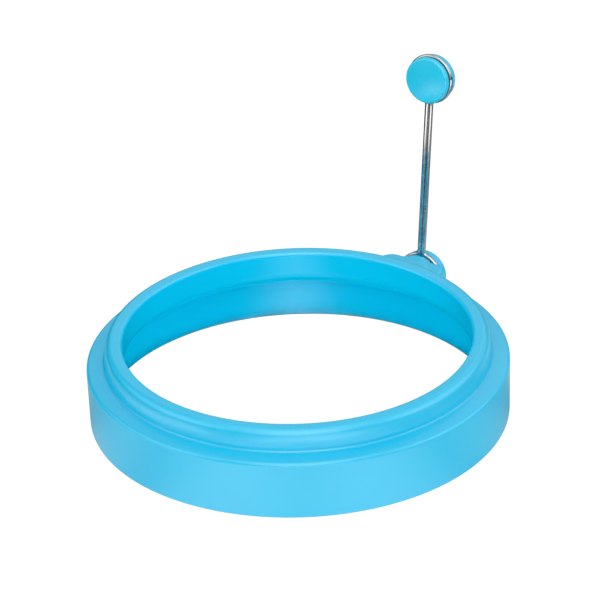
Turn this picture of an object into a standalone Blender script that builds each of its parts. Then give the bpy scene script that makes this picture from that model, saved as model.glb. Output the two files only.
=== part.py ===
"""Egg ring: a two-tier silicone ring with a steel wire handle and a silicone knob.

Metres, +Z up. The ring stands on z = 0 and its lug points to +Y. The origin is
the middle of the whole object's footprint, so the ring's own axis lies a little
towards -Y. The wire handle turns in a groove round the lug's neck, about an
axis that points outwards and slightly down, so the upright handle leans out.
"""
import math
import bpy
import bmesh
from mathutils import Matrix, Vector

MM = 0.001

# ---- driving dimensions, mm -------------------------------------------------
RING_Y = -9.1           # ring axis, from the middle of the footprint
R_OUT = 50.0            # lower tier, outer radius at the lip
R_WALL = 49.85          # lower tier, outer wall
R_LOW_IN = 46.6         # lower tier, inner wall
R_TOP_OUT = 45.3        # upper tier, outer radius at the rim
R_TOP_FOOT = 45.75      # upper tier, outer radius at its foot
R_TOP_IN = 41.3         # upper tier, inner wall
H_RING = 20.1           # whole ring
H_LEDGE = 14.35         # top of the lower tier, at its lip
H_FOOT = 14.94          # the same, at the upper tier's foot
FOOT_EDGE = 0.45        # fillet at that foot
LIP_EDGE = 0.9          # rounding of the lip
H_UNDER = 10.6          # inner step, facing down
RING_STEPS = 80

HINGE_RHO = 58.5        # hinge centre, from the ring axis
HINGE_Z = 8.2           # hinge centre, height
LEAN = math.radians(7.5)    # how far the upright handle leans outwards

WIRE_R = 0.53           # wire, radius
LEG_X = 0.57            # leg centreline, from the handle's middle
LOOP_R = 5.67           # both loops, centreline radius
FLARE_R = 1.3           # bend between a loop and a leg
HANDLE_L = 51.6         # between the loops' centres
END_GAP = math.radians(3.0)  # half the opening between the wire's ends

DISC_R = 5.75           # knob discs, and the disc on the lug's end
NECK_R = 4.82           # neck inside each loop
GROOVE = 0.85           # half width of each groove
BUTTON_R = 6.05         # button, outside the lower loop
BUTTON_T = 2.0          # button, thickness
KNOB_FRONT_T = 1.5      # knob, disc on the ring's side
KNOB_BACK_T = 1.6       # knob, outer disc
EDGE = 0.6              # rounding of the discs' edges

LUG_Z0, LUG_Z1 = 2.2, 13.8   # lug, bottom and top
LUG_HALF_W = 8.95       # lug, half width at its sides
LUG_CORNER = 3.6        # lug, corner radius in plan
LUG_SET = 1.2           # the lug's flat end, behind the face of its disc
LUG_FLARE_T = 22.3      # where the lug's flare leaves the ring
LUG_EDGE = 1.2          # rounding of the lug's long edges
RIM_EDGE = 1.8          # rounding of the rim's outer shoulder
WALL_LEAN = 16.0        # lean of the upper wall just under that shoulder, degrees
WALL_ARC = 14.1         # radius that brings the wall upright at its foot
STEP_EDGE = 4.2         # rounding where the inner step turns up into the upper wall


def arc(cx, cy, r, a0, a1, n):
    """Points on an arc, degrees, ends included."""
    out = []
    for i in range(n + 1):
        a = math.radians(a0 + (a1 - a0) * i / n)
        out.append((cx + r * math.cos(a), cy + r * math.sin(a)))
    return out


def clear_scene():
    for ob in list(bpy.data.objects):
        bpy.data.objects.remove(ob, do_unlink=True)


def material(name, colour, rough, metal):
    m = bpy.data.materials.new(name)
    m.use_nodes = True
    b = m.node_tree.nodes["Principled BSDF"]
    b.inputs["Base Color"].default_value = (*colour, 1.0)
    b.inputs["Roughness"].default_value = rough
    b.inputs["Metallic"].default_value = metal
    m.diffuse_color = (*colour, 1.0)
    return m


def link(ob, coll):
    coll.objects.link(ob)
    return ob


def profile_object(name, points, coll, steps):
    """A turned shape: the profile lies in XZ at +X and is swept about Z."""
    me = bpy.data.meshes.new(name)
    bm = bmesh.new()
    vs = [bm.verts.new((r * MM, 0.0, z * MM)) for r, z in points]
    closed = points[0][0] > 1e-6
    for a, b in zip(vs, vs[1:]):
        bm.edges.new((a, b))
    if closed:
        bm.edges.new((vs[-1], vs[0]))
    bm.to_mesh(me)
    bm.free()
    ob = link(bpy.data.objects.new(name, me), coll)
    sc = ob.modifiers.new("turn", "SCREW")
    sc.axis = "Z"
    sc.angle = 2.0 * math.pi
    sc.steps = steps
    sc.render_steps = steps
    sc.use_merge_vertices = True
    sc.merge_threshold = 0.00001
    sc.use_smooth_shade = True
    return ob


def spool(neck_r, z_top, z_top_in, z_bot_in, z_bot):
    """Half section of a spool, from the axis at the top to the axis at the bottom."""
    p = [(0.0, z_top)]
    p += arc(DISC_R - EDGE, z_top - EDGE, EDGE, 90, 0, 3)
    e2 = min(EDGE, z_top - z_top_in - EDGE) * 0.8
    p += arc(DISC_R - e2, z_top_in + e2, e2, 0, -90, 2)
    p += [(neck_r, z_top_in), (neck_r, z_bot_in)]
    p += arc(DISC_R - e2, z_bot_in - e2, e2, 90, 0, 2)
    p += arc(DISC_R - EDGE, z_bot + EDGE, EDGE, 0, -90, 3)
    p += [(0.0, z_bot)]
    return p


def as_cutter(ob):
    ob.hide_render = True
    ob.display_type = "WIRE"
    return ob


def smooth(ob, angle=35.0):
    ob.data.shade_smooth()
    ob.data.set_sharp_from_angle(angle=math.radians(angle))


def boolean(ob, other, operation, name):
    mod = ob.modifiers.new(name, "BOOLEAN")
    mod.operation = operation
    mod.solver = "EXACT"
    mod.object = other
    return mod


def curve_to_mesh(ob, coll):
    """A curve's evaluated mesh, caps welded, in a new object at the same place."""
    bpy.context.view_layer.update()
    dg = bpy.context.evaluated_depsgraph_get()
    me = bpy.data.meshes.new_from_object(ob.evaluated_get(dg))
    bm = bmesh.new()
    bm.from_mesh(me)
    bmesh.ops.remove_doubles(bm, verts=bm.verts, dist=0.000005)
    bmesh.ops.recalc_face_normals(bm, faces=bm.faces)
    bm.to_mesh(me)
    bm.free()
    name = ob.name
    mw = ob.matrix_world.copy()
    parent = ob.parent
    bpy.data.objects.remove(ob, do_unlink=True)
    me.name = name
    new = link(bpy.data.objects.new(name, me), coll)
    new.parent = parent
    new.matrix_world = mw
    return new


def lug_outline():
    """Plan of the lug, mm, x across and y from the ring axis outwards.

    The flare leaves the ring along its tangent, turns into the lug's straight
    side, and a round corner leads to the end. The inner edge stays in the wall.
    """
    end = HINGE_RHO - LUG_SET
    side_y = 51.4
    flare_a = math.asin(LUG_FLARE_T / R_WALL)
    p0 = Vector((LUG_FLARE_T, R_WALL * math.cos(flare_a)))
    p3 = Vector((LUG_HALF_W + 0.6, side_y))
    d0 = Vector((-math.cos(flare_a), math.sin(flare_a)))
    d3 = Vector((0.16, -1.0)).normalized()
    half = []
    n = 8
    for i in range(n + 1):
        t = i / n
        a, b = p0 + d0 * 10.0, p3 + d3 * 1.2
        q = ((1 - t) ** 3) * p0 + 3 * ((1 - t) ** 2) * t * a + 3 * (1 - t) * t * t * b + (t ** 3) * p3
        half.append((q.x, q.y))
    half += arc(LUG_HALF_W - LUG_CORNER, end - LUG_CORNER, LUG_CORNER, 8, 90, 6)
    right = half
    left = [(-x, y) for x, y in reversed(half)]
    r_in = (R_LOW_IN + R_WALL) / 2.0
    a0 = math.degrees(math.asin((LUG_FLARE_T - 0.6) / r_in))
    inner = arc(0.0, 0.0, r_in, 90 + a0, 90 - a0, 8)
    return right + left + inner


def build():
    clear_scene()
    scene = bpy.context.scene
    scene.unit_settings.system = "METRIC"
    parts = bpy.data.collections.new("egg_ring")
    cutters = bpy.data.collections.new("cutters")
    scene.collection.children.link(parts)
    scene.collection.children.link(cutters)

    silicone = material("blue_silicone", (0.02, 0.50, 0.82), 0.38, 0.0)
    knob_blue = material("blue_silicone_knob", (0.02, 0.48, 0.76), 0.38, 0.0)
    steel = material("polished_steel", (0.78, 0.79, 0.80), 0.08, 1.0)

    # frames: the ring axis, and the handle's axis. The handle's local Z points
    # back to the ring, local Y runs up the handle, local X lies across it.
    ring_axis = link(bpy.data.objects.new("ring_axis", None), parts)
    ring_axis.location = (0.0, RING_Y * MM, 0.0)
    pivot = link(bpy.data.objects.new("handle_axis", None), parts)
    pivot.location = (0.0, (RING_Y + HINGE_RHO) * MM, HINGE_Z * MM)
    pivot.rotation_euler = (math.radians(90.0) - LEAN, 0.0, 0.0)
    bpy.context.view_layer.update()

    # ---- ring body, turned --------------------------------------------------
    # rim shoulder, then the barrelled upper wall, upright at its foot
    lean = math.radians(WALL_LEAN)
    wall_x = R_TOP_OUT - RIM_EDGE + (RIM_EDGE - WALL_ARC) * math.cos(lean)
    wall_z = H_RING - RIM_EDGE + (RIM_EDGE - WALL_ARC) * math.sin(lean)
    p = arc(R_TOP_OUT - RIM_EDGE, H_RING - RIM_EDGE, RIM_EDGE, 90, WALL_LEAN, 4)
    p += arc(wall_x, wall_z, WALL_ARC, WALL_LEAN, 2, 3)[1:]
    # the ledge falls a little from the foot to the lip
    p += arc(R_TOP_FOOT + FOOT_EDGE, H_FOOT + FOOT_EDGE, FOOT_EDGE, 180, 259, 3)
    p += arc(R_OUT - LIP_EDGE, H_LEDGE - LIP_EDGE, LIP_EDGE, 79, 0, 4)
    p += arc(R_WALL - 0.5, 0.5, 0.5, 0, -90, 3)
    p += arc(R_LOW_IN + 0.4, 0.4, 0.4, -90, -180, 2)
    p += arc(R_LOW_IN - 1.0, H_UNDER - 1.0, 1.0, 0, 90, 4)
    p += arc(R_TOP_IN + STEP_EDGE, H_UNDER + STEP_EDGE, STEP_EDGE, -90, -180, 5)
    p += arc(R_TOP_IN + 0.8, H_RING - 0.8, 0.8, 180, 90, 3)
    ring = profile_object("ring", p, parts, RING_STEPS)
    ring.parent = ring_axis
    ring.data.materials.append(silicone)

    # ---- lug: flat outline with thickness, its end cut square to the axis ---
    cu = bpy.data.curves.new("lug_body", "CURVE")
    cu.dimensions = "2D"
    cu.fill_mode = "BOTH"
    outline = lug_outline()
    sp = cu.splines.new("POLY")
    sp.points.add(len(outline) - 1)
    for pt, (x, y) in zip(sp.points, outline):
        pt.co = (x * MM, y * MM, 0.0, 1.0)
    sp.use_cyclic_u = True
    cu.extrude = (LUG_Z1 - LUG_Z0) / 2.0 * MM
    lug_curve = link(bpy.data.objects.new("lug_body", cu), cutters)
    lug_curve.location = (0.0, RING_Y * MM, (LUG_Z0 + LUG_Z1) / 2.0 * MM)
    lug = as_cutter(curve_to_mesh(lug_curve, cutters))

    cut = bmesh.new()
    bmesh.ops.create_cube(cut, size=1.0)
    me = bpy.data.meshes.new("lug_end_cut")
    cut.to_mesh(me)
    cut.free()
    end_cut = as_cutter(link(bpy.data.objects.new("lug_end_cut", me), cutters))
    # everything beyond the lug's flat end, a little behind its disc
    block = 30.0
    end_cut.matrix_world = (
        pivot.matrix_world
        @ Matrix.Translation((0.0, 0.0, (GROOVE + LUG_SET - block / 2.0) * MM))
        @ Matrix.Diagonal((2 * block * MM, 2 * block * MM, block * MM, 1.0))
    )
    # the outline's outer edges, top and bottom, are rounded before the end is cut
    bm = bmesh.new()
    bm.from_mesh(lug.data)
    weight = bm.edges.layers.float.new("bevel_weight_edge")
    for e in bm.edges:
        level = abs(e.verts[0].co.z - e.verts[1].co.z) < 1e-6
        mid = (e.verts[0].co + e.verts[1].co) / 2.0
        outer = math.hypot(mid.x, mid.y) > (R_WALL - 0.3) * MM
        if level and outer and len(e.link_faces) == 2 and e.calc_face_angle() > 0.8:
            e[weight] = 1.0
    bm.to_mesh(lug.data)
    bm.free()
    bev = lug.modifiers.new("soft_edges", "BEVEL")
    bev.width = LUG_EDGE * MM
    bev.segments = 3
    bev.limit_method = "WEIGHT"
    boolean(lug, end_cut, "DIFFERENCE", "square_end")
    boolean(ring, lug, "UNION", "lug")

    # ---- disc, neck and button on the lug's end ------------------------------
    # local Z runs from the button (below 0) back into the lug (above 0); the
    # disc runs out behind in a cone that sinks into the lug
    q = [(0.0, GROOVE + 2.9), (NECK_R - 0.5, GROOVE + 2.9), (DISC_R, GROOVE + 1.5)]
    q += arc(DISC_R - EDGE, GROOVE + EDGE, EDGE, 0, -90, 3)
    q += [(NECK_R, GROOVE), (NECK_R, -GROOVE)]
    e2 = 0.5
    q += arc(BUTTON_R - e2, -GROOVE - e2, e2, 90, 0, 2)
    q += arc(BUTTON_R - EDGE, -GROOVE - BUTTON_T + EDGE, EDGE, 0, -90, 3)
    q += [(0.0, -GROOVE - BUTTON_T)]
    button = as_cutter(profile_object("neck_and_button", q, cutters, 40))
    button.matrix_world = pivot.matrix_world.copy()
    boolean(ring, button, "UNION", "neck_and_button")

    # ---- wire handle: one wire bent double -----------------------------------
    # a bend of FLARE_R leads each loop into its leg
    bend_y = math.sqrt((LOOP_R + FLARE_R) ** 2 - (LEG_X + FLARE_R) ** 2)
    join = math.degrees(math.atan2(bend_y, LEG_X + FLARE_R))
    gap = math.degrees(END_GAP)
    path = []
    # right half of the lower loop, from the wire's first end up to the bend
    path += arc(0.0, 0.0, LOOP_R, -90 + gap, join, 14)
    path += arc(LEG_X + FLARE_R, bend_y, FLARE_R, 180 + join, 180, 4)[1:]
    # right leg up, bend, upper loop, bend, left leg down
    y_top = HANDLE_L - bend_y
    path += arc(LEG_X + FLARE_R, y_top, FLARE_R, 180, 180 - join, 4)
    path += arc(0.0, HANDLE_L, LOOP_R, -join, 180 + join, 28)[1:-1]
    path += arc(-LEG_X - FLARE_R, y_top, FLARE_R, join, 0, 4)
    path += arc(-LEG_X - FLARE_R, bend_y, FLARE_R, 0, -join, 4)
    path += arc(0.0, 0.0, LOOP_R, 180 - join, 270 - gap, 14)[1:]
    wc = bpy.data.curves.new("wire_handle", "CURVE")
    wc.dimensions = "3D"
    wc.bevel_depth = WIRE_R * MM
    wc.bevel_resolution = 4
    wc.use_fill_caps = True
    ws = wc.splines.new("POLY")
    ws.points.add(len(path) - 1)
    for pt, (x, y) in zip(ws.points, path):
        pt.co = (x * MM, y * MM, 0.0, 1.0)
    wire_curve = link(bpy.data.objects.new("wire_handle", wc), parts)
    wire_curve.parent = pivot
    wire = curve_to_mesh(wire_curve, parts)
    wire.data.materials.clear()
    wire.data.materials.append(steel)
    smooth(wire, 50.0)

    # ---- knob -------------------------------------------------------------------
    k = spool(NECK_R, GROOVE + KNOB_FRONT_T, GROOVE, -GROOVE, -GROOVE - KNOB_BACK_T)
    knob = profile_object("knob", k, parts, 48)
    knob.parent = pivot
    knob.location = (0.0, HANDLE_L * MM, 0.0)
    knob.data.materials.append(knob_blue)
    bpy.context.view_layer.update()


build()
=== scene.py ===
"""Looks of the egg ring: satin sky-blue silicone ring with a lug, and a polished
wire handle with a silicone knob. Sizes are in millimetres here and metres in Blender."""

import math

import bmesh
import bpy
import numpy as np
from mathutils import Matrix, Vector


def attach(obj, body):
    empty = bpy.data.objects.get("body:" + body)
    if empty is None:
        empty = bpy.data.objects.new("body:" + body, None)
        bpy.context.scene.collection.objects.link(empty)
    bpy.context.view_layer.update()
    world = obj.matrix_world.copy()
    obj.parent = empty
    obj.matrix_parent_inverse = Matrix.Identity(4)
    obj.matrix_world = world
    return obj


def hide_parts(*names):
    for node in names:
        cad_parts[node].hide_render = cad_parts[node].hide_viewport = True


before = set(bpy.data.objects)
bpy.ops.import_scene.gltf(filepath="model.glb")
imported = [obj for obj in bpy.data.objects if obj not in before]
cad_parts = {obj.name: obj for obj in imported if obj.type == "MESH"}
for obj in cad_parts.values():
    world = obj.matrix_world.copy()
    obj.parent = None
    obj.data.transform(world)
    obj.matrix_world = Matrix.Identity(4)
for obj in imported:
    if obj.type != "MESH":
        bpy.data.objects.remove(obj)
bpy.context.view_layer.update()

MM = 0.001

# ---- sizes, as in the CAD model ------------------------------------------------
RING_Y = -9.1
R_OUT, R_WALL, R_LOW_IN = 50.0, 49.85, 46.6
R_TOP_OUT, R_TOP_FOOT, R_TOP_IN = 45.3, 45.75, 41.3
H_RING, H_LEDGE, H_UNDER = 20.1, 14.35, 10.6
HINGE_RHO, HINGE_Z = 58.5, 8.2
LEAN = math.radians(7.5)
WIRE_R, LEG_X, LOOP_R, FLARE_R = 0.53, 0.57, 5.67, 1.3
HANDLE_L = 51.6
END_GAP = 3.0
DISC_R, NECK_R, GROOVE = 5.75, 4.82, 0.85
BUTTON_R, BUTTON_T, KNOB_FRONT_T, KNOB_BACK_T = 6.05, 2.0, 1.5, 1.6
LUG_Z0, LUG_Z1 = 2.2, 13.8
LUG_HALF_W, LUG_CORNER, LUG_SET, LUG_FLARE_T, LUG_EDGE = 8.95, 3.6, 1.2, 22.3, 1.2
RIM_EDGE, STEP_EDGE = 1.8, 4.2
WALL_LEAN, WALL_ARC = 16.0, 14.1
H_FOOT, FOOT_EDGE, LIP_EDGE = 14.94, 0.45, 0.9


def arc(cx, cy, r, a0, a1, n):
    """Points on an arc, degrees, ends included."""
    a = np.radians(np.linspace(a0, a1, n + 1))
    return [(cx + r * math.cos(t), cy + r * math.sin(t)) for t in a]


# The handle's frame: local Y up the handle, local Z back towards the ring.
HINGE = Matrix.Translation((0.0, RING_Y + HINGE_RHO, HINGE_Z)) @ Matrix.Rotation(
    math.radians(90.0) - LEAN, 4, "X")


# ---- distance fields -------------------------------------------------------------
def polygon_distance(p, poly):
    """Signed distance from each 2-D point to a closed polygon, negative inside."""
    poly = np.asarray(poly, float)
    a, b = poly, np.roll(poly, -1, axis=0)
    out = np.empty(len(p))
    for s in range(0, len(p), 8192):
        q = p[s:s + 8192, None, :]
        ab = (b - a)[None]
        t = np.clip(((q - a) * ab).sum(-1) / (ab ** 2).sum(-1), 0.0, 1.0)
        d = np.sqrt((((q - a) - t[..., None] * ab) ** 2).sum(-1).min(1))
        up = (a[None, :, 1] <= q[..., 1]) != (b[None, :, 1] <= q[..., 1])
        dy = np.where(b[:, 1] == a[:, 1], 1.0, b[:, 1] - a[:, 1])
        x = a[None, :, 0] + (q[..., 1] - a[None, :, 1]) * (b[:, 0] - a[:, 0]) / dy
        inside = (up & (x > q[..., 0])).sum(1) % 2 == 1
        out[s:s + 8192] = np.where(inside, -d, d)
    return out


def smooth_union(a, b, k):
    h = np.clip(0.5 + 0.5 * (b - a) / k, 0.0, 1.0)
    return b * (1 - h) + a * h - k * h * (1 - h)


def smooth_cut(a, b, k):
    return -smooth_union(-a, -b, k)


def ring_profile():
    """Half section of the ring, in radius and height, both tiers in one outline."""
    # rim shoulder, then the barrelled upper wall, upright at its foot
    lean = math.radians(WALL_LEAN)
    wall_x = R_TOP_OUT - RIM_EDGE + (RIM_EDGE - WALL_ARC) * math.cos(lean)
    wall_z = H_RING - RIM_EDGE + (RIM_EDGE - WALL_ARC) * math.sin(lean)
    p = arc(R_TOP_OUT - RIM_EDGE, H_RING - RIM_EDGE, RIM_EDGE, 90, WALL_LEAN, 22)
    p += arc(wall_x, wall_z, WALL_ARC, WALL_LEAN, 2, 14)[1:]
    # the ledge falls a little from the foot to the lip
    p += arc(R_TOP_FOOT + FOOT_EDGE, H_FOOT + FOOT_EDGE, FOOT_EDGE, 180, 259, 10)
    p += arc(R_OUT - LIP_EDGE, H_LEDGE - LIP_EDGE, LIP_EDGE, 79, 0, 18)
    p += arc(R_WALL - 0.5, 0.5, 0.5, 0, -90, 12)
    p += arc(R_LOW_IN + 0.4, 0.4, 0.4, -90, -180, 10)
    p += arc(R_LOW_IN - 1.0, H_UNDER - 1.0, 1.0, 0, 90, 14)
    p += arc(R_TOP_IN + STEP_EDGE, H_UNDER + STEP_EDGE, STEP_EDGE, -90, -180, 24)
    p += arc(R_TOP_IN + 0.8, H_RING - 0.8, 0.8, 180, 90, 14)
    return p


def lug_outline():
    """Plan of the lug: a flare along the wall's tangent, a side, a round corner."""
    end = HINGE_RHO - LUG_SET
    flare = math.asin(LUG_FLARE_T / R_WALL)
    p0 = np.array((LUG_FLARE_T, R_WALL * math.cos(flare)))
    p3 = np.array((LUG_HALF_W + 0.6, 51.4))
    d0 = np.array((-math.cos(flare), math.sin(flare)))
    d3 = np.array((0.16, -1.0)) / math.hypot(0.16, 1.0)
    a, b = p0 + d0 * 10.0, p3 + d3 * 1.2
    half = []
    for t in np.linspace(0, 1, 25):
        q = (1 - t) ** 3 * p0 + 3 * (1 - t) ** 2 * t * a + 3 * (1 - t) * t * t * b + t ** 3 * p3
        half.append((q[0], q[1]))
    half += arc(LUG_HALF_W - LUG_CORNER, end - LUG_CORNER, LUG_CORNER, 8, 90, 16)
    left = [(-x, y) for x, y in reversed(half)]
    r_in = R_WALL - 1.1
    a0 = math.degrees(math.asin((LUG_FLARE_T - 0.4) / r_in))
    return half + left + arc(0, 0, r_in, 90 + a0, 90 - a0, 20)


def end_disc():
    """Section of the disc on the lug's end, both sides of its axis: radius and depth."""
    half = arc(DISC_R - 0.6, GROOVE + 0.6, 0.6, -90, 0, 10)
    half += [(DISC_R, GROOVE + 1.5), (NECK_R - 0.5, GROOVE + 2.9)]
    return half + [(-r, z) for r, z in reversed(half)]


PROFILE = ring_profile()
LUG = lug_outline()
DISC = end_disc()
AXIS_IN = np.array(HINGE.to_3x3() @ Vector((0, 0, 1)))     # back towards the ring
AXIS_AT = np.array(HINGE.translation - Vector((0, RING_Y, 0)))


def silicone_distance(p, ring=None):
    """Signed distance to ring and lug together, ring axis at the origin."""
    if ring is None:
        ring = polygon_distance(np.stack((np.hypot(p[:, 0], p[:, 1]), p[:, 2]), 1), PROFILE)
    near = (p[:, 1] > 40.0) & (np.abs(p[:, 0]) < 27.0) & (np.hypot(p[:, 0], p[:, 1]) > 45.5)
    out = ring.copy()
    if near.any():
        q = p[near]
        plan = polygon_distance(q[:, :2], LUG)
        half = (LUG_Z1 - LUG_Z0) / 2
        tall = np.abs(q[:, 2] - (LUG_Z0 + half)) - half
        w = np.stack((plan, tall), 1) + LUG_EDGE
        slab = np.linalg.norm(np.maximum(w, 0), axis=1) + np.minimum(w.max(1), 0) - LUG_EDGE
        # the lug's end is square to the axis that the wire turns on, with a disc on it
        away = q - AXIS_AT
        deep = away @ AXIS_IN
        lug = smooth_cut(slab, GROOVE + LUG_SET - deep, 1.0)
        round_axis = np.sqrt(np.maximum((away ** 2).sum(1) - deep ** 2, 0.0))
        lug = smooth_union(lug, polygon_distance(np.stack((round_axis, deep), 1), DISC), 0.9)
        # the blend dies out before the flare runs into the wall
        blend = np.interp(np.abs(q[:, 0]), (15.0, 20.5), (1.3, 0.05))
        out[near] = smooth_union(ring[near], lug, blend)
    return out


def onto_surface(points):
    """Moves points that are near the surface onto it, along the field's slope."""
    eps = 0.002
    f = silicone_distance(points)
    for _ in range(2):
        g = np.stack([(silicone_distance(points + eps * e) - f) / eps for e in np.eye(3)], 1)
        step = f / np.maximum((g ** 2).sum(1), 0.2)
        points = points - np.clip(step, -0.25, 0.25)[:, None] * g
        f = silicone_distance(points)
    return points


def surface(turns, radii, heights):
    """Quads over the zero level of the distance field on a cylindrical grid, with
    their points moved onto the exact surface. turns is in radians, once round."""
    nt, nr, nz = len(turns), len(radii), len(heights)
    tt = np.append(turns, turns[0] + 2 * math.pi)
    flat = np.stack(np.meshgrid(radii, heights, indexing="ij"), -1).reshape(-1, 2)
    flat = np.broadcast_to(polygon_distance(flat, PROFILE).reshape(1, nr, nz), (nt, nr, nz)).ravel()
    T, R, Z = np.meshgrid(turns, radii, heights, indexing="ij")
    field = silicone_distance(np.stack((R * np.cos(T), R * np.sin(T), Z), -1).reshape(-1, 3), flat)
    field = field.reshape(T.shape)
    field = np.concatenate((field, field[:1]), 0)
    neg = field < 0

    def crossing(axis, line):
        lo = [slice(None)] * 3
        hi = [slice(None)] * 3
        lo[axis], hi[axis] = slice(0, -1), slice(1, None)
        a, b = field[tuple(lo)], field[tuple(hi)]
        hit = neg[tuple(lo)] != neg[tuple(hi)]
        t = np.where(hit, a / np.where(hit, a - b, 1.0), 0.0)
        shape = [1, 1, 1]
        shape[axis] = -1
        l0, l1 = line[:-1].reshape(shape), line[1:].reshape(shape)
        return hit, l0 + t * (l1 - l0)

    ht, ct = crossing(0, tt)
    hr, cr = crossing(1, radii)
    hz, cz = crossing(2, heights)
    count = np.zeros((nt, nr - 1, nz - 1))
    total = np.zeros((nt, nr - 1, nz - 1, 3))
    for j in (0, 1):
        for k in (0, 1):
            h = ht[:, j:nr - 1 + j, k:nz - 1 + k]
            count += h
            total[..., 0] += h * ct[:, j:nr - 1 + j, k:nz - 1 + k]
            total[..., 1] += h * radii[None, j:nr - 1 + j, None]
            total[..., 2] += h * heights[None, None, k:nz - 1 + k]
            h = hr[j:nt + j, :, k:nz - 1 + k]
            count += h
            total[..., 0] += h * tt[j:nt + j, None, None]
            total[..., 1] += h * cr[j:nt + j, :, k:nz - 1 + k]
            total[..., 2] += h * heights[None, None, k:nz - 1 + k]
            h = hz[j:nt + j, k:nr - 1 + k, :]
            count += h
            total[..., 0] += h * tt[j:nt + j, None, None]
            total[..., 1] += h * radii[None, k:nr - 1 + k, None]
            total[..., 2] += h * cz[j:nt + j, k:nr - 1 + k, :]
    live = count > 0
    index = np.full(live.shape, -1)
    index[live] = np.arange(live.sum())
    mean = total[live] / count[live][:, None]
    # even turns on the plain part of the ring: every section is the same there
    points = np.stack((mean[:, 1] * np.cos(mean[:, 0]), mean[:, 1] * np.sin(mean[:, 0]), mean[:, 2]), 1)
    faces = []
    i, j, k = np.nonzero(hr[:nt, :, 1:-1])
    k = k + 1
    faces.append((i, j, k, index[i - 1, j, k - 1], index[i, j, k - 1], index[i, j, k], index[i - 1, j, k],
                  neg[i, j, k]))
    i, j, k = np.nonzero(ht[:, 1:-1, 1:-1])
    j, k = j + 1, k + 1
    faces.append((i, j, k, index[i, j - 1, k - 1], index[i, j, k - 1], index[i, j, k], index[i, j - 1, k],
                  ~neg[i, j, k]))
    i, j, k = np.nonzero(hz[:nt, 1:-1, :])
    j = j + 1
    faces.append((i, j, k, index[i - 1, j - 1, k], index[i, j - 1, k], index[i, j, k], index[i - 1, j, k],
                  ~neg[i, j, k]))
    quads = []
    for _, _, _, a, b, c, d, flip in faces:
        q = np.stack((a, b, c, d), 1)
        q[flip] = q[flip][:, ::-1]
        quads.append(q)
    quads = np.concatenate(quads)

    # away from the lug every section is the same, so one is moved for all of them
    near = (points[:, 1] > 38.0) & (np.abs(points[:, 0]) < 28.0)
    points[near] = onto_surface(points[near])
    rho, z = np.hypot(points[:, 0], points[:, 1]), points[:, 2]
    plain, where = np.unique(np.round(np.stack((rho, z), 1)[~near], 5), axis=0, return_inverse=True)
    moved = onto_surface(np.stack((plain[:, 0], 0 * plain[:, 0], plain[:, 1]), 1))[where.ravel()]
    a = np.arctan2(points[~near, 1], points[~near, 0])
    points[~near] = np.stack((moved[:, 0] * np.cos(a), moved[:, 0] * np.sin(a), moved[:, 2]), 1)
    return points, quads


def mesh_object(name, points, faces):
    me = bpy.data.meshes.new(name)
    me.from_pydata([tuple(p) for p in np.asarray(points) * MM], [], [tuple(int(v) for v in f) for f in faces])
    me.validate()
    me.update()
    ob = bpy.data.objects.new(name, me)
    bpy.context.scene.collection.objects.link(ob)
    return ob


def outward(ob):
    bm = bmesh.new()
    bm.from_mesh(ob.data)
    bmesh.ops.recalc_face_normals(bm, faces=bm.faces)
    if bm.calc_volume(signed=True) < 0:
        bmesh.ops.reverse_faces(bm, faces=bm.faces)
    bm.to_mesh(ob.data)
    bm.free()


def turned(name, profile, steps):
    """A closed turned body: the profile runs from the axis round to the axis."""
    rows, faces = [], []
    points = []
    for r, z in profile:
        if r < 1e-6:
            rows.append([len(points)])
            points.append((0.0, 0.0, z))
        else:
            rows.append(list(range(len(points), len(points) + steps)))
            for i in range(steps):
                a = 2 * math.pi * i / steps
                points.append((r * math.cos(a), r * math.sin(a), z))
    for a, b in zip(rows, rows[1:]):
        for i in range(steps):
            n = (i + 1) % steps
            if len(a) == 1:
                faces.append((a[0], b[i], b[n]))
            elif len(b) == 1:
                faces.append((a[i], b[0], a[n]))
            else:
                faces.append((a[i], b[i], b[n], a[n]))
    ob = mesh_object(name, points, faces)
    outward(ob)
    return ob


def soften(ob, angle):
    ob.data.shade_smooth()
    ob.data.set_sharp_from_angle(angle=math.radians(angle))


# ---- pieces ----------------------------------------------------------------------
def make_ring():
    near = math.radians(27.0)
    mid = math.pi / 2
    turns = np.concatenate((
        np.linspace(mid - near, mid + near, 190),
        np.linspace(mid + near, mid - near + 2 * math.pi, 246)[1:-1]))
    radii = np.concatenate((np.arange(40.7, 50.9, 0.3), np.arange(51.0, 60.2, 0.28)))
    heights = np.concatenate((
        np.arange(-0.31, 1.3, 0.2), np.arange(1.5, 9.0, 0.38), np.arange(9.2, 20.75, 0.27)))
    points, quads = surface(turns, radii, heights)
    points[:, 1] += RING_Y
    ring = mesh_object("egg_ring_silicone", points, quads)
    outward(ring)

    z_in = GROOVE + 3.0
    q = [(0.0, z_in)] + arc(NECK_R - 0.2, z_in - 0.2, 0.2, 90, 0, 3)
    q += arc(NECK_R + 0.18, -GROOVE + 0.18, 0.18, 180, 270, 4)
    q += arc(BUTTON_R - 0.4, -GROOVE - 0.4, 0.4, 90, 0, 8)
    q += arc(BUTTON_R - 0.6, -GROOVE - BUTTON_T + 0.6, 0.6, 0, -90, 12)
    q += face(-GROOVE - BUTTON_T, BUTTON_R - 0.6, -0.15)
    button = turned("neck", q, 128)
    button.matrix_world = Matrix.Scale(MM, 4) @ HINGE @ Matrix.Scale(1 / MM, 4)
    bpy.context.view_layer.update()
    mod = ring.modifiers.new("neck", "BOOLEAN")
    mod.operation = "UNION"
    mod.solver = "EXACT"
    mod.object = button
    apply_modifiers(ring)
    bpy.data.objects.remove(button, do_unlink=True)
    soften(ring, 40.0)
    return ring


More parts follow.
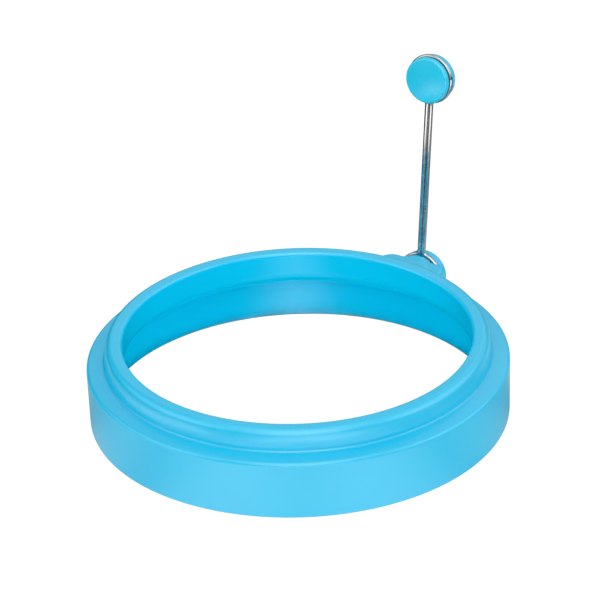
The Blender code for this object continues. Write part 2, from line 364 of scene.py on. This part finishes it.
def face(z, r, crown):
    """Inner points of a disc's slightly crowned face, from its edge to the axis."""
    return [(r * t, z + crown * (1 - t * t)) for t in np.linspace(1.0, 0.0, 17)[1:]]


def apply_modifiers(ob):
    dg = bpy.context.evaluated_depsgraph_get()
    me = bpy.data.meshes.new_from_object(ob.evaluated_get(dg))
    old = ob.data
    ob.modifiers.clear()
    ob.data = me
    bpy.data.meshes.remove(old)


def make_knob():
    """A spool: two discs with soft edges and a neck, in the handle's frame."""
    front, back = GROOVE + KNOB_FRONT_T, -GROOVE - KNOB_BACK_T
    q = list(reversed(face(front, DISC_R - 0.6, 0.36)))
    q += arc(DISC_R - 0.6, front - 0.6, 0.6, 90, 0, 12)
    q += arc(DISC_R - 0.35, GROOVE + 0.35, 0.35, 0, -90, 8)
    q += arc(NECK_R + 0.18, GROOVE - 0.18, 0.18, 90, 180, 4)
    q += arc(NECK_R + 0.18, -GROOVE + 0.18, 0.18, 180, 270, 4)
    q += arc(DISC_R - 0.35, -GROOVE - 0.35, 0.35, 90, 0, 8)
    q += arc(DISC_R - 0.6, back + 0.6, 0.6, 0, -90, 12)
    q += face(back, DISC_R - 0.6, -0.15)
    knob = turned("knob_silicone", q, 128)
    knob.data.transform(Matrix.Scale(MM, 4) @ HINGE @ Matrix.Translation((0, HANDLE_L, 0)) @ Matrix.Scale(1 / MM, 4))
    soften(knob, 40.0)
    return knob


def wire_path():
    """Centreline of the wire in the handle's frame, from end to end."""
    bend_y = math.sqrt((LOOP_R + FLARE_R) ** 2 - (LEG_X + FLARE_R) ** 2)
    join = math.degrees(math.atan2(bend_y, LEG_X + FLARE_R))
    cx = LEG_X + FLARE_R
    y_top = HANDLE_L - bend_y
    path = arc(0, 0, LOOP_R, -90 + END_GAP, join, 60)
    path += arc(cx, bend_y, FLARE_R, 180 + join, 180, 14)[1:]
    path += [(LEG_X, y) for y in np.linspace(bend_y, y_top, 40)[1:-1]]
    path += arc(cx, y_top, FLARE_R, 180, 180 - join, 14)
    path += arc(0, HANDLE_L, LOOP_R, -join, 180 + join, 110)[1:-1]
    path += arc(-cx, y_top, FLARE_R, join, 0, 14)
    path += [(-LEG_X, y) for y in np.linspace(y_top, bend_y, 40)[1:-1]]
    path += arc(-cx, bend_y, FLARE_R, 0, -join, 14)
    path += arc(0, 0, LOOP_R, 180 - join, 270 - END_GAP, 60)[1:]
    return np.array(path)


def make_wire(sides=24):
    path = wire_path()
    along = np.gradient(path, axis=0)
    along /= np.linalg.norm(along, axis=1)[:, None]
    side = np.stack((-along[:, 1], along[:, 0]), 1)
    length = np.concatenate(([0], np.cumsum(np.linalg.norm(np.diff(path, axis=0), axis=1))))
    rows, faces, points, run = [], [], [], []

    def section(c, s, r, at):
        rows.append(list(range(len(points), len(points) + sides)))
        for i in range(sides):
            a = 2 * math.pi * i / sides
            points.append((c[0] + s[0] * r * math.cos(a), c[1] + s[1] * r * math.cos(a), r * math.sin(a)))
            run.append(at)

    # the wire's cut ends are slightly rounded
    ends = [(0.18, 0.0), (0.05, 0.03), (0.0, 0.12)]
    rows.append([0])
    tip0 = path[0]
    points.append((tip0[0], tip0[1], 0.0))
    run.append(0.0)
    for back, step in ends[:2]:
        section(path[0] + along[0] * step, side[0], WIRE_R - back, 0.0)
    for n in range(1, len(path) - 1):
        section(path[n], side[n], WIRE_R, length[n])
    for back, step in reversed(ends[:2]):
        section(path[-1] - along[-1] * step, side[-1], WIRE_R - back, length[-1])
    rows.append([len(points)])
    points.append((path[-1][0], path[-1][1], 0.0))
    run.append(length[-1])
    for a, b in zip(rows, rows[1:]):
        for i in range(sides):
            n = (i + 1) % sides
            if len(a) == 1:
                faces.append((a[0], b[i], b[n]))
            elif len(b) == 1:
                faces.append((a[i], b[0], a[n]))
            else:
                faces.append((a[i], b[i], b[n], a[n]))
    wire = mesh_object("handle_wire", points, faces)
    at = wire.data.attributes.new("run", "FLOAT", "POINT")
    at.data.foreach_set("value", np.array(run, np.float32) * MM)
    outward(wire)
    wire.data.transform(Matrix.Scale(MM, 4) @ HINGE @ Matrix.Scale(1 / MM, 4))
    soften(wire, 50.0)
    return wire


# ---- materials -------------------------------------------------------------------
def new_material(name):
    m = bpy.data.materials.new(name)
    m.use_nodes = True
    nt = m.node_tree
    return m, nt, nt.nodes["Principled BSDF"]


def silicone(name, base, deep):
    """Satin moulded silicone: fine grain, faint patches in colour and gloss."""
    m, nt, b = new_material(name)
    n, link = nt.nodes, nt.links
    tc = n.new("ShaderNodeTexCoord")
    cloud = n.new("ShaderNodeTexNoise")
    cloud.inputs["Scale"].default_value = 55.0
    cloud.inputs["Detail"].default_value = 3.0
    cloud.inputs["Roughness"].default_value = 0.5
    link.new(tc.outputs["Object"], cloud.inputs["Vector"])
    ramp = n.new("ShaderNodeValToRGB")
    ramp.color_ramp.elements[0].position = 0.30
    ramp.color_ramp.elements[0].color = (*deep, 1)
    ramp.color_ramp.elements[1].position = 0.70
    ramp.color_ramp.elements[1].color = (*base, 1)
    link.new(cloud.outputs["Fac"], ramp.inputs["Fac"])
    link.new(ramp.outputs["Color"], b.inputs["Base Color"])

    patch = n.new("ShaderNodeTexNoise")
    patch.inputs["Scale"].default_value = 160.0
    patch.inputs["Detail"].default_value = 4.0
    link.new(tc.outputs["Object"], patch.inputs["Vector"])
    rough = n.new("ShaderNodeMapRange")
    rough.inputs["From Min"].default_value = 0.3
    rough.inputs["From Max"].default_value = 0.7
    rough.inputs["To Min"].default_value = 0.21
    rough.inputs["To Max"].default_value = 0.27
    link.new(patch.outputs["Fac"], rough.inputs["Value"])
    link.new(rough.outputs["Result"], b.inputs["Roughness"])

    grain = n.new("ShaderNodeTexNoise")
    grain.inputs["Scale"].default_value = 1100.0
    grain.inputs["Detail"].default_value = 1.0
    link.new(tc.outputs["Object"], grain.inputs["Vector"])
    swell = n.new("ShaderNodeTexNoise")
    swell.inputs["Scale"].default_value = 90.0
    swell.inputs["Detail"].default_value = 0.0
    link.new(tc.outputs["Object"], swell.inputs["Vector"])
    bump1 = n.new("ShaderNodeBump")
    bump1.inputs["Strength"].default_value = 0.06
    bump1.inputs["Distance"].default_value = 0.00002
    link.new(grain.outputs["Fac"], bump1.inputs["Height"])
    bump2 = n.new("ShaderNodeBump")
    bump2.inputs["Strength"].default_value = 0.3
    bump2.inputs["Distance"].default_value = 0.00005
    link.new(swell.outputs["Fac"], bump2.inputs["Height"])
    link.new(bump1.outputs["Normal"], bump2.inputs["Normal"])
    link.new(bump2.outputs["Normal"], b.inputs["Normal"])

    b.inputs["Specular IOR Level"].default_value = 1.0
    b.inputs["IOR"].default_value = 1.55
    b.inputs["Subsurface Weight"].default_value = 0.12
    b.inputs["Subsurface Radius"].default_value = (0.1, 0.5, 1.0)
    b.inputs["Subsurface Scale"].default_value = 0.0015
    return m


def steel(name):
    """Bright drawn wire, with fine patches in tone and gloss."""
    m, nt, b = new_material(name)
    n, link = nt.nodes, nt.links
    tc = n.new("ShaderNodeTexCoord")
    run = n.new("ShaderNodeAttribute")
    run.attribute_name = "run"
    patch = n.new("ShaderNodeTexNoise")
    patch.inputs["Scale"].default_value = 700.0
    patch.inputs["Detail"].default_value = 4.0
    link.new(tc.outputs["Object"], patch.inputs["Vector"])
    rough = n.new("ShaderNodeMapRange")
    rough.inputs["From Min"].default_value = 0.3
    rough.inputs["From Max"].default_value = 0.7
    rough.inputs["To Min"].default_value = 0.05
    rough.inputs["To Max"].default_value = 0.11
    link.new(patch.outputs["Fac"], rough.inputs["Value"])
    link.new(rough.outputs["Result"], b.inputs["Roughness"])
    tone = n.new("ShaderNodeValToRGB")
    tone.color_ramp.elements[0].position = 0.35
    tone.color_ramp.elements[0].color = (0.56, 0.56, 0.57, 1)
    tone.color_ramp.elements[1].position = 0.65
    tone.color_ramp.elements[1].color = (0.66, 0.66, 0.66, 1)
    link.new(patch.outputs["Fac"], tone.inputs["Fac"])
    link.new(tone.outputs["Color"], b.inputs["Base Color"])
    b.inputs["Metallic"].default_value = 1.0
    return m


# ---- camera ----------------------------------------------------------------------
def make_camera():
    el, dist = math.radians(29.9869), 849.436
    focal_px = 3567.336
    roll, pan, tilt = math.radians(-2.1063), math.radians(0.0645), math.radians(1.7317)
    fwd = Vector((0, math.cos(el), -math.sin(el)))
    right = Vector((1, 0, 0))
    up = right.cross(fwd)
    fwd2 = fwd * math.cos(pan) + right * math.sin(pan)
    right2 = right * math.cos(pan) - fwd * math.sin(pan)
    fwd3 = fwd2 * math.cos(tilt) + up * math.sin(tilt)
    up3 = up * math.cos(tilt) - fwd2 * math.sin(tilt)
    right4 = right2 * math.cos(roll) + up3 * math.sin(roll)
    up4 = up3 * math.cos(roll) - right2 * math.sin(roll)
    turn = Matrix.Rotation(math.radians(32.2), 3, "Z")
    axes = Matrix((turn @ right4, turn @ up4, -(turn @ fwd3))).transposed()
    place = turn @ Vector((0, -dist * math.cos(el), dist * math.sin(el))) + Vector((0, RING_Y, 0))
    cam = bpy.data.cameras.new("camera")
    cam.sensor_width = 36.0
    cam.lens = focal_px * 36.0 / 600.0
    cam.clip_start, cam.clip_end = 0.01, 20.0
    ob = bpy.data.objects.new("camera", cam)
    ob.matrix_world = Matrix.Translation(place * MM) @ axes.to_4x4()
    bpy.context.scene.collection.objects.link(ob)
    bpy.context.scene.camera = ob
    return ob


# ---- stage -----------------------------------------------------------------------
PHOTO_TURN = math.radians(32.2)     # from the photograph's own axes to the row's
FILL = 0.025                        # watts
FAR = (0.0, 1.75)

# What the gloss sees, in the photograph's axes (x right, y away, z up).
SKY = [
    ("over", (0, 0, 1), 40, 0.8),
    ("over_back", (0, 0.5, 0.87), 35, 0.3),
    ("back", (0, 0.9, 0.436), 30, 0.52),
    ("back_low", (0, 1, 0.05), 30, 0.02),
    ("front_left", (-0.81, -0.35, 0.5), 32, 0.7),
    ("front_right", (0.81, -0.35, 0.5), 32, 0.6),
    ("front_high", (0, -0.5, 0.87), 35, 1.3),
    ("front", (0, -0.87, 0.5), 35, 1.5),
    ("front_low", (0, -1, 0.05), 30, 0.1),
    ("left", (-0.87, 0, 0.5), 40, 0.8),
    ("right", (0.87, 0, 0.5), 40, 1.0),
    ("back_left", (-0.6, 0.6, 0.5), 35, 0.15),
    ("back_right", (0.6, 0.6, 0.5), 35, 0.6),
]
GROUND = [
    ("g_front", (0, -1, 0), 55, 1.03),
    ("g_front_left", (-0.7, -0.7, 0), 50, 0.46),
    ("g_front_right", (0.7, -0.7, 0), 50, 0.38),
    ("g_left", (-1, 0, 0), 50, 0.26),
    ("g_right", (1, 0, 0), 50, 0.19),
    ("g_back_left", (-0.7, 0.7, 0), 50, 0.25),
    ("g_back_right", (0.7, 0.7, 0), 50, 0.5),
]


class Graph:
    """Small sums of node values, for the studio's brightness."""

    def __init__(self, tree):
        self.tree = tree

    def set(self, socket, value):
        if isinstance(value, (int, float)):
            socket.default_value = value
        else:
            self.tree.links.new(value, socket)

    def math(self, op, a, b=0.0):
        n = self.tree.nodes.new("ShaderNodeMath")
        n.operation = op
        self.set(n.inputs[0], a)
        self.set(n.inputs[1], b)
        return n.outputs[0]

    def ramp(self, value, a, b, low, high):
        """low at a, high at b, smooth between them and level outside."""
        n = self.tree.nodes.new("ShaderNodeMapRange")
        n.interpolation_type = "SMOOTHSTEP"
        self.set(n.inputs["Value"], value)
        flip = a > b
        n.inputs["From Min"].default_value = min(a, b)
        n.inputs["From Max"].default_value = max(a, b)
        n.inputs["To Min"].default_value = high if flip else low
        n.inputs["To Max"].default_value = low if flip else high
        return n.outputs["Result"]

    def mix(self, fac, a, b):
        """a where fac is 0, b where it is 1."""
        return self.math("ADD", a, self.math("MULTIPLY", fac, self.math("SUBTRACT", b, a)))

    def vector(self, op, a, b=None):
        n = self.tree.nodes.new("ShaderNodeVectorMath")
        n.operation = op
        self.tree.links.new(a, n.inputs[0])
        if b is not None:
            n.inputs[1].default_value = b
        return n.outputs["Value"] if op == "DOT_PRODUCT" else n.outputs["Vector"]

    def lobes(self, direction, table):
        """Soft bright patches round the given directions: name, direction, half width
        in degrees and strength of each."""
        total = 0.0
        for name, way, width, strength in table:
            way = Vector(way).normalized()
            near = self.ramp(self.vector("DOT_PRODUCT", direction, way), math.cos(math.radians(width)), 1.0, 0.0, 1.0)
            part = self.math("MULTIPLY", near, strength)
            part.node.name = name
            total = self.math("ADD", total, part)
        return total


def stage_object(name, me, material, camera=False, diffuse=False, glossy=False, shadow=False):
    """A floor or a light card round the photograph's axes, seen only by some rays."""
    ob = bpy.data.objects.new(name, me)
    ob.matrix_world = Matrix.Translation((0, RING_Y * MM, 0)) @ Matrix.Rotation(PHOTO_TURN, 4, "Z")
    bpy.context.scene.collection.objects.link(ob)
    ob.data.materials.append(material)
    ob.visible_camera, ob.visible_diffuse, ob.visible_glossy = camera, diffuse, glossy
    ob.visible_shadow = shadow
    ob.visible_transmission = ob.visible_volume_scatter = False
    return ob


def quads_mesh(name, quads):
    me = bpy.data.meshes.new(name)
    flat = [tuple(c * MM for c in p) for q in quads for p in q]
    me.from_pydata(flat, [], [tuple(range(4 * i, 4 * i + 4)) for i in range(len(quads))])
    me.update()
    return me


def level_quad(half_x, half_y, z):
    return [(-half_x, -half_y, z), (half_x, -half_y, z), (half_x, half_y, z), (-half_x, half_y, z)]


def disc_mesh(name, r, z, n=96, outer=None):
    """A level disc, or with outer the level plane round it."""
    me = bpy.data.meshes.new(name)
    pts = [(x * MM, y * MM, z * MM) for x, y in arc(0, 0, r, 0, 360, n)[:-1]]
    faces = [tuple(range(n))]
    if outer:
        pts += [(x * MM, y * MM, z * MM) for x, y in arc(0, 0, outer, 0, 360, n)[:-1]]
        faces = [(i, n + i, n + (i + 1) % n, (i + 1) % n) for i in range(n)]
    me.from_pydata(pts, [], faces)
    me.update()
    return me


def lamp(name, kind, energy, matrix, **sizes):
    """A lamp that lights the matt side of things only."""
    data = bpy.data.lights.new(name, kind)
    data.energy = energy
    for key, value in sizes.items():
        setattr(data, key, value)
    data.cycles.use_multiple_importance_sampling = False
    ob = bpy.data.objects.new(name, data)
    ob.matrix_world = matrix
    bpy.context.scene.collection.objects.link(ob)
    ob.visible_camera = ob.visible_glossy = False
    return ob


def glow(name, sampled=False):
    """A plain emitting material; returns it with its graph and strength socket."""
    m = bpy.data.materials.new(name)
    m.use_nodes = True
    nt = m.node_tree
    nt.nodes.remove(nt.nodes["Principled BSDF"])
    e = nt.nodes.new("ShaderNodeEmission")
    nt.links.new(e.outputs[0], nt.nodes["Material Output"].inputs["Surface"])
    m.cycles.emission_sampling = "AUTO" if sampled else "NONE"
    return m, Graph(nt), e.inputs["Strength"]


def make_world():
    """White to the camera; soft light all round; in gloss, dark low in front,
    paler behind and bright overhead."""
    world = bpy.data.worlds.new("studio")
    bpy.context.scene.world = world
    world.use_nodes = True
    world.cycles.sampling_method = "NONE"
    nt = world.node_tree
    g = Graph(nt)
    tc = nt.nodes.new("ShaderNodeTexCoord")
    turn = nt.nodes.new("ShaderNodeVectorRotate")
    turn.rotation_type = "Z_AXIS"
    turn.inputs["Angle"].default_value = -PHOTO_TURN
    nt.links.new(tc.outputs["Generated"], turn.inputs["Vector"])
    sep = nt.nodes.new("ShaderNodeSeparateXYZ")
    nt.links.new(turn.outputs["Vector"], sep.inputs[0])
    side, away, up = sep.outputs["X"], sep.outputs["Y"], sep.outputs["Z"]
    path = nt.nodes.new("ShaderNodeLightPath")
    gloss = g.lobes(turn.outputs["Vector"], SKY)
    soft = g.math("ADD", g.ramp(away, 0.3, -0.9, 0.76, 1.47), g.ramp(up, 0.5, 1.0, 0.0, 0.12))
    soft = g.math("ADD", soft, g.ramp(side, 0.4, 1.0, 0.0, 0.35))
    soft = g.math("ADD", soft, g.ramp(side, -0.4, -1.0, 0.0, 0.15))
    soft = g.math("MULTIPLY", soft, g.ramp(up, -0.02, 0.0, 0.0, 1.0))
    light = g.mix(path.outputs["Is Glossy Ray"], soft, gloss)
    light = g.mix(path.outputs["Is Camera Ray"], light, 1.05)
    nt.links.new(light, nt.nodes["Background"].inputs["Strength"])
    nt.nodes["Background"].inputs["Color"].default_value = (1, 1, 1, 1)


def make_stage():
    bpy.context.scene.view_settings.view_transform = "Standard"
    make_world()

    # the floor as the camera sees it, and as it throws light at matt surfaces
    m, g, strength = glow("floor_white")
    strength.default_value = 1.05
    stage_object("floor", quads_mesh("floor", [level_quad(1500, 1500, -0.02)]), m, camera=True)
    m, _, b = new_material("floor_glow")
    b.inputs["Base Color"].default_value = (0.55, 0.55, 0.55, 1)
    b.inputs["Roughness"].default_value = 0.9
    b.inputs["Specular IOR Level"].default_value = 0.0
    b.inputs["Emission Color"].default_value = (1, 1, 1, 1)
    b.inputs["Emission Strength"].default_value = 0.27
    stage_object("floor_glow", disc_mesh("floor_glow", 48.0, -0.02, outer=2000), m, diffuse=True, shadow=True)

    # what the gloss sees below the horizon: bright in front, grey behind, and
    # inside the ring a paler floor between upright fins that stop sideways light
    m, g, strength = glow("card_floor")
    tc = g.tree.nodes.new("ShaderNodeTexCoord")
    sep = g.tree.nodes.new("ShaderNodeSeparateXYZ")
    g.tree.links.new(tc.outputs["Object"], sep.inputs[0])
    x, y = sep.outputs["X"], sep.outputs["Y"]
    r = g.math("SQRT", g.math("ADD", g.math("MULTIPLY", x, x), g.math("MULTIPLY", y, y)))
    outside = g.lobes(g.vector("NORMALIZE", tc.outputs["Object"]), GROUND)
    outside = g.math("MULTIPLY", outside, g.ramp(r, 0.078, 0.105, 1.0, 0.55))
    far = g.lobes(g.vector("NORMALIZE", tc.outputs["Object"]), [("g_far", (0, -1, 0), 42, 1.6)])
    outside = g.math("ADD", outside, g.math("MULTIPLY", far, g.ramp(r, 0.13, 0.17, 0.0, 1.0)))
    # far out on the left, where the knob's front looks: dark, paler to the front
    slant = g.math("SUBTRACT", g.math("MULTIPLY", x, 0.76), g.math("MULTIPLY", y, 0.65))
    far = g.math("MULTIPLY", g.ramp(slant, -0.095, -0.050, FAR[0], FAR[1]), g.ramp(y, -0.13, -0.10, 0.2, 1.0))
    outside = g.mix(g.ramp(x, -0.07, -0.10, 0.0, 1.0), outside, far)
    inside = g.ramp(y, 0.028, 0.038, 0.9, 1.45)
    g.set(strength, g.mix(g.ramp(r, 0.0464, 0.0462, 0.0, 1.0), outside, inside))
    stage_object("card_floor", quads_mesh("card_floor", [level_quad(1500, 1500, -0.03)]), m, glossy=True)

    # fins stop light from the sides, slats stop light from straight below
    fins = []
    for i in range(-45, 46):
        fx = 1.0 * i
        half = math.sqrt(46.3 ** 2 - fx ** 2)
        fins.append([(fx, -half, 0.0), (fx, half, 0.0), (fx, half, 1.2), (fx, -half, 1.2)])
        if fx > -20:
            fins.append([(-half, fx, 0.0), (half, fx, 0.0), (half, fx + 1.1, 0.6), (-half, fx + 1.1, 0.6)])
    m, g, strength = glow("card_dark")
    strength.default_value = 0.0
    stage_object("card_fins", quads_mesh("card_fins", fins), m, glossy=True)

    # light thrown up from the floor inside the ring
    lamp("lamp_fill", "AREA", FILL, Matrix.Translation((0, RING_Y * MM, 0.1 * MM)) @ Matrix.Rotation(math.pi, 4, "X"),
         shape="DISK", size=91.0 * MM)


make_camera()
make_stage()

ring = make_ring()
wire = make_wire()
knob = make_knob()

blue = silicone("silicone_blue", (0.0, 0.510, 0.790), (0.0, 0.490, 0.770))
# the knob gets a copy of the same silicone, paler and greener: painted light, standing in for the brighter, less
# blue-tinted light on the knob
knob_lit_copy = silicone("silicone_knob_lit_copy", (0.0, 0.540, 0.770), (0.0, 0.520, 0.750))
ring.data.materials.clear()
ring.data.materials.append(blue)
knob.data.materials.append(knob_lit_copy)
wire.data.materials.append(steel("polished_wire"))

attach(ring, "ring_body")
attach(wire, "handle")
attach(knob, "handle")
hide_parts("ring")
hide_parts("wire_handle")
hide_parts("knob")
